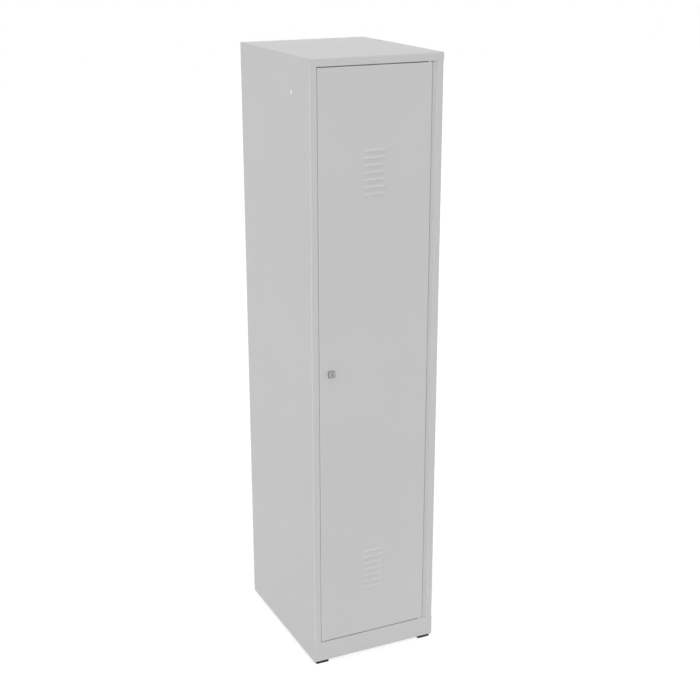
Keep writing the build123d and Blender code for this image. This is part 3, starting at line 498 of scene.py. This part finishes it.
def end_tree(tree, given, shape):
    """Make the shape real, give it its finish and hand it out."""
    real = tree.nodes.new("GeometryNodeRealizeInstances")
    dress = tree.nodes.new("GeometryNodeSetMaterial")
    result = tree.nodes.new("NodeGroupOutput")
    tree.links.new(shape, real.inputs[0])
    tree.links.new(real.outputs[0], dress.inputs["Geometry"])
    tree.links.new(given["Finish"], dress.inputs["Material"])
    tree.links.new(dress.outputs[0], result.inputs["Shape"])


def grow(tree, seed, inputs):
    """Run a tree on a seed mesh; returns a piece of the seed's name with the result as its mesh."""
    name = seed.name
    piece = bpy.data.objects.new(name, seed)
    modifier = piece.modifiers.new("grow", "NODES")
    modifier.node_group = tree
    for socket in tree.interface.items_tree:
        if socket.in_out == "INPUT" and socket.name in inputs:
            modifier[socket.identifier] = inputs[socket.name]
    scene.collection.objects.link(piece)
    seen = piece.evaluated_get(bpy.context.evaluated_depsgraph_get())
    grown = bpy.data.meshes.new_from_object(seen)
    piece.modifiers.clear()
    piece.data = grown
    bpy.data.meshes.remove(seed)
    grown.name = name
    return piece


print("helpers ready")

# %% [markdown]
# Spot welds hold the panels together. Each is a coin-shaped press mark: a low round rim with a
# dished middle, painted over with the panel. They come in long rows, so the tree sets one mark on
# every point of a list, turned to face the way its point says.

# %% Tree that presses a weld mark on every point
MARK_SIDES = 20
MARK_RINGS = 3
CREST_SHARE = 0.8  # the rim's crest, as a share of the mark's radius
MARK_SIZES = {"Diameter": 0.006, "Rise": 0.00025, "Dish": 0.0002, "Bury": 0.0001}


def weld_mark_tree():
    tree, given = start_tree("weld_marks", MARK_SIZES)
    add = tree.nodes.new
    join = tree.links.new
    rim = maths(tree, "MULTIPLY", given["Diameter"], 0.5)
    crest = maths(tree, "MULTIPLY", rim, CREST_SHARE)
    button = add("GeometryNodeMeshCone")
    button.fill_type = "TRIANGLE_FAN"
    button.inputs["Vertices"].default_value = MARK_SIDES
    button.inputs["Fill Segments"].default_value = MARK_RINGS
    join(crest, button.inputs["Radius Top"])
    join(rim, button.inputs["Radius Bottom"])
    join(maths(tree, "ADD", given["Rise"], given["Bury"]), button.inputs["Depth"])

    # The top is dished towards its middle, and the whole mark is sunk a little into the sheet.
    spot = add("GeometryNodeInputPosition")
    flat = add("ShaderNodeVectorMath")
    flat.operation = "MULTIPLY"
    flat.inputs[1].default_value = (1, 1, 0)
    join(spot.outputs[0], flat.inputs[0])
    away = add("ShaderNodeVectorMath")
    away.operation = "LENGTH"
    join(flat.outputs[0], away.inputs[0])
    share = maths(tree, "DIVIDE", away.outputs["Value"], crest)
    hollow = maths(tree, "MULTIPLY", maths(tree, "SUBTRACT", share, 1.0), given["Dish"])
    moves = {
        "Top": maths(tree, "SUBTRACT", hollow, given["Bury"]),
        "Bottom": maths(tree, "MULTIPLY", given["Bury"], -1.0),
    }
    mark = button.outputs["Mesh"]
    for end, move in moves.items():
        offset = add("ShaderNodeCombineXYZ")
        join(move, offset.inputs["Z"])
        lower = add("GeometryNodeSetPosition")
        join(mark, lower.inputs["Geometry"])
        join(button.outputs[end], lower.inputs["Selection"])
        join(offset.outputs[0], lower.inputs["Offset"])
        mark = lower.outputs[0]

    facing = add("GeometryNodeInputNamedAttribute")
    facing.data_type = "FLOAT_VECTOR"
    facing.inputs["Name"].default_value = "facing"
    turn = add("FunctionNodeAlignRotationToVector")
    turn.axis = "Z"
    join(facing.outputs["Attribute"], turn.inputs["Vector"])
    press = add("GeometryNodeInstanceOnPoints")
    join(given["Seed"], press.inputs["Points"])
    join(mark, press.inputs["Instance"])
    join(turn.outputs[0], press.inputs["Rotation"])
    end_tree(tree, given, press.outputs[0])
    return tree


weld_tree = weld_mark_tree()
print("tree:", weld_tree.name)

# %% [markdown]
# A mark needs a place and a way to face, and most places come in rows.


# %% Helpers that lay out and press the marks
def row(start, end, count, facing):
    """Evenly spaced places on a line, all facing one way."""
    start, end = Vector(start), Vector(end)
    return [(start.lerp(end, number / (count - 1)), facing) for number in range(count)]


def press_marks(name, places, body, slot, finish, **sizes):
    """places is a list of (point, facing); makes one piece that rides on a body."""
    points = bpy.data.meshes.new(name)
    points.from_pydata([place for place, _ in places], [], [])
    facing = points.attributes.new("facing", "FLOAT_VECTOR", "POINT")
    for item, (_, way) in zip(facing.data, places):
        item.vector = way
    piece = grow(weld_tree, points, {"Finish": finish, **sizes})
    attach(piece, body)
    print(name, "marks:", len(places), "faces:", len(piece.data.polygons))


TO_BACK, TO_FRONT, UP = (0, 1, 0), (0, -1, 0), (0, 0, 1)
print("helpers ready")

# %% [markdown]
# On the door, two rows hold the stiffener's flanges to the skin, and a pair holds each side of a
# rod guide.

# %% Door welds
DOOR_WELD = 0.0055  # diameter
STIFFENER_SHEET = 0.0008
STIFFENER_INSET = 0.0055  # edge of a flange to the middle of its welds
STIFFENER_END = 0.03  # end of the stiffener to the nearest weld
STIFFENER_WELDS = 17
GUIDE_SHEET = 0.001
GUIDE_INSET = 0.0045
GUIDE_END = 0.006

stiffener_low, stiffener_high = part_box("door_stiffener")
y = stiffener_low.y + STIFFENER_SHEET
first, last = stiffener_low.z + STIFFENER_END, stiffener_high.z - STIFFENER_END
weld_places = []
for x in (stiffener_low.x + STIFFENER_INSET, stiffener_high.x - STIFFENER_INSET):
    weld_places += row((x, y, first), (x, y, last), STIFFENER_WELDS, TO_BACK)
for guide in ("upper_rod_guide", "lower_rod_guide"):
    low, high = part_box(guide)
    y = low.y + GUIDE_SHEET
    for x in (low.x + GUIDE_INSET, high.x - GUIDE_INSET):
        weld_places += row((x, y, low.z + GUIDE_END), (x, y, high.z - GUIDE_END), 2, TO_BACK)
press_marks("door_weld_marks", weld_places, "door", "paint", coat, Diameter=DOOR_WELD)

# %% [markdown]
# In the body, rows run down the back panel where it lies on the side flanges, with a break at the
# shelf, along the top's side flanges, and in pairs on the four shelf lugs.

# %% Body welds
BODY_WELD = 0.006  # diameter
BACK_INSET = 0.007  # edge of the back panel to the middle of its welds
OVER_FLOOR, UNDER_TOP = 0.05, 0.04  # where the rows on the back start and end
UNDER_SHELF, OVER_SHELF = 1.53, 1.61  # heights at which they break off and go on
LOWER_WELDS, UPPER_WELDS = 13, 3
TOP_INSET, TOP_DOWN = 0.0016, 0.008  # from the top panel's side and upper face
TOP_FRONT, TOP_BACK = -0.19, 0.22
TOP_WELDS = 5
LUG_SHEET, LUG_RISE = 0.0015, 0.007
LUG_PLACE, LUG_APART = 0.165, 0.007  # from the locker's middle, and from the lug's

back_low, back_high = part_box("back_panel")
_, top_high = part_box("top_panel")
lug_low, lug_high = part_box("shelf_lugs")
_, floor_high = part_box("floor_panel")
weld_places = []
for hand in (-1, 1):
    inward = (-hand, 0, 0)
    x, y = hand * (back_high.x - BACK_INSET), back_low.y
    first, last = floor_high.z + OVER_FLOOR, top_high.z - UNDER_TOP
    weld_places += row((x, y, first), (x, y, UNDER_SHELF), LOWER_WELDS, TO_FRONT)
    weld_places += row((x, y, OVER_SHELF), (x, y, last), UPPER_WELDS, TO_FRONT)
    x, z = hand * (top_high.x - TOP_INSET), top_high.z - TOP_DOWN
    weld_places += row((x, TOP_FRONT, z), (x, TOP_BACK, z), TOP_WELDS, inward)
    x, z = hand * (lug_high.x - LUG_SHEET), lug_low.z + LUG_RISE
    for y in (-LUG_PLACE, LUG_PLACE):
        weld_places += row((x, y - LUG_APART, z), (x, y + LUG_APART, z), 2, inward)
press_marks("body_weld_marks", weld_places, "cabinet", "paint", coat, Diameter=BODY_WELD)

# %% [markdown]
# A blind rivet is set by pulling a steel pin until it snaps, and the pin's end stays in the head as
# a small dished dot. The same tree can press it: narrower, more deeply dished, and in zinc plate on
# the aluminium head.

# %% Rivet pins
HEAD_HALF = 0.004  # radius of a rivet's head
PIN_SIZES = {"Diameter": 0.0022, "Rise": 0.0002, "Dish": 0.00025, "Bury": 0.0004}

rivet_low, rivet_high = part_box("bracket_rivets")
pin_places = []
for x in (rivet_low.x + HEAD_HALF, rivet_high.x - HEAD_HALF):
    for y in (rivet_low.y + HEAD_HALF, rivet_high.y - HEAD_HALF):
        pin_places.append(((x, y, rivet_high.z), UP))
press_marks("rivet_pins", pin_places, "cabinet", "zinc_steel", zinc, **PIN_SIZES)

# %% [markdown]
# The lock's barrel is threaded for its nut. A thread is a ridge wound along a spiral, so this tree
# draws the spiral, squeezes it flat where the barrel has its two flats, and runs a small round
# section along it.

# %% Tree that winds a thread
TURN_STEPS = 40
RIDGE_SIDES = 6
RIDGE_SUNK = 1.2  # how deep the ridge's middle runs under the flats, in ridge radii
THREAD_SIZES = {"Turns": 6.0, "Radius": 0.008, "Length": 0.006, "Flats": 0.014, "Ridge": 0.0003}


def thread_tree():
    tree, given = start_tree("wound_thread", THREAD_SIZES, points=("Start",))
    add = tree.nodes.new
    join = tree.links.new
    spiral = add("GeometryNodeCurveSpiral")
    spiral.inputs["Resolution"].default_value = TURN_STEPS
    join(given["Turns"], spiral.inputs["Rotations"])
    join(given["Radius"], spiral.inputs["Start Radius"])
    join(given["Radius"], spiral.inputs["End Radius"])
    join(given["Length"], spiral.inputs["Height"])
    lay = add("GeometryNodeTransform")
    lay.inputs["Rotation"].default_value = (-math.pi / 2, 0, 0)
    join(spiral.outputs[0], lay.inputs["Geometry"])

    # Where the spiral would leave the barrel's flats, it is drawn in to just under them.
    spot = add("GeometryNodeInputPosition")
    parts = add("ShaderNodeSeparateXYZ")
    join(spot.outputs[0], parts.inputs[0])
    sunk = maths(tree, "MULTIPLY", given["Ridge"], -RIDGE_SUNK)
    limit = maths(tree, "MULTIPLY_ADD", given["Flats"], 0.5, sunk)
    squeeze = add("ShaderNodeClamp")
    join(parts.outputs["X"], squeeze.inputs["Value"])
    join(maths(tree, "MULTIPLY", limit, -1.0), squeeze.inputs["Min"])
    join(limit, squeeze.inputs["Max"])
    whole = add("ShaderNodeCombineXYZ")
    join(squeeze.outputs[0], whole.inputs["X"])
    join(parts.outputs["Y"], whole.inputs["Y"])
    join(parts.outputs["Z"], whole.inputs["Z"])
    path = add("GeometryNodeSetPosition")
    join(lay.outputs[0], path.inputs["Geometry"])
    join(whole.outputs[0], path.inputs["Position"])

    section = add("GeometryNodeCurvePrimitiveCircle")
    section.inputs["Resolution"].default_value = RIDGE_SIDES
    join(given["Ridge"], section.inputs["Radius"])
    sweep = add("GeometryNodeCurveToMesh")
    sweep.inputs["Fill Caps"].default_value = True
    join(path.outputs[0], sweep.inputs["Curve"])
    join(section.outputs[0], sweep.inputs["Profile Curve"])
    move = add("GeometryNodeTransform")
    join(sweep.outputs[0], move.inputs["Geometry"])
    join(given["Start"], move.inputs["Translation"])
    end_tree(tree, given, move.outputs[0])
    return tree


wound_thread = thread_tree()
print("tree:", wound_thread.name)

# %% [markdown]
# The thread shows between the back of the nut and the end of the barrel, on the inside of the door.

# %% Barrel thread
THREAD_MARGIN = 0.0004  # thread to the nut, and to the end of the barrel

housing_low, housing_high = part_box("lock_housing")
_, nut_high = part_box("lock_nut")
thread_start = Vector((
    (housing_low.x + housing_high.x) / 2,
    nut_high.y + THREAD_MARGIN,
    (housing_low.z + housing_high.z) / 2,
))
thread_length = housing_high.y - THREAD_MARGIN - thread_start.y
thread_inputs = {"Length": thread_length, "Start": thread_start, "Finish": nickel}
thread = grow(wound_thread, bpy.data.meshes.new("barrel_thread"), thread_inputs)
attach(thread, "door")
print("thread length in mm:", round(thread_length * 1000, 2), "faces:", len(thread.data.polygons))
